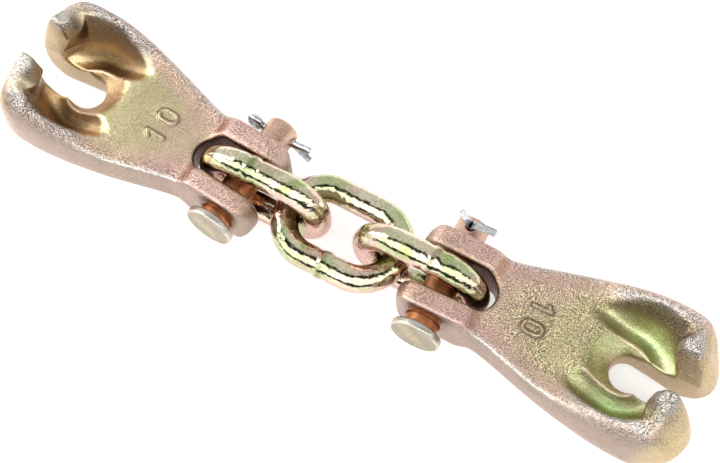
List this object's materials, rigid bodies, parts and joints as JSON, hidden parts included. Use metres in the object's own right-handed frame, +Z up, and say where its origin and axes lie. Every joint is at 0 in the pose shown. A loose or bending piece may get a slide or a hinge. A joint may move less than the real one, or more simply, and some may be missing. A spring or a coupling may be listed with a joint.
{
  "type": "load binder chain",
  "caption": "Short coupling chain with a pocketed clutch hook pinned to each end, for gripping and shortening a load chain.",
  "frame": {"origin": "middle of the whole footprint, on the surface the chain lies on, just below the middle link", "axes": "+X along the chain from the left hook to the right hook, +Y from the pins' heads towards their split-pin ends, +Z up"},
  "size_m": [0.2676, 0.059, 0.0364],
  "materials": {
    "forged_hook": "yellow zinc chromate over forged steel, satin with fine cast grain",
    "chain_link": "yellow zinc chromate over drawn wire, glossy",
    "clevis_pin": "yellow zinc chromate over turned steel, satin",
    "split_pin": "bright zinc plated soft wire"
  },
  "bodies": {
    "middle_link": {"middle_link": "chain_link"},
    "left_link": {"left_link": "chain_link"},
    "right_link": {"right_link": "chain_link"},
    "left_hook": {"left_hook": "forged_hook"},
    "right_hook": {"right_hook": "forged_hook"},
    "left_pin": {"left_clevis_pin": "clevis_pin", "left_split_pin": "split_pin"},
    "right_pin": {"right_clevis_pin": "clevis_pin", "right_split_pin": "split_pin"}
  },
  "joints": [
    {"name": "left_link_swing", "type": "hinge", "parent": "middle_link", "child": "left_link", "pos_m": [-0.02032, -0.00409, 0.016], "axis": [0, 0.9994, 0.0349], "range_deg": [-60, 60]},
    {"name": "left_hook_swing", "type": "hinge", "parent": "left_link", "child": "left_hook", "pos_m": [-0.03828, -0.00409, 0.018], "axis": [0.0872, 0.9962, 0], "range_deg": [-85, 85]},
    {"name": "left_pin_spin", "type": "hinge", "parent": "left_hook", "child": "left_pin", "pos_m": [-0.03828, -0.00409, 0.018], "axis": [0.0872, 0.9962, 0], "continuous": true},
    {"name": "right_link_swing", "type": "hinge", "parent": "middle_link", "child": "right_link", "pos_m": [0.02068, -0.00409, 0.016], "axis": [0, 0.9994, 0.0349], "range_deg": [-60, 60]},
    {"name": "right_hook_swing", "type": "hinge", "parent": "right_link", "child": "right_hook", "pos_m": [0.03864, -0.00409, 0.018], "axis": [-0.0262, 0.9997, 0], "range_deg": [-85, 85]},
    {"name": "right_pin_spin", "type": "hinge", "parent": "right_hook", "child": "right_pin", "pos_m": [0.03864, -0.00409, 0.018], "axis": [-0.0262, 0.9997, 0], "continuous": true}
  ]
}
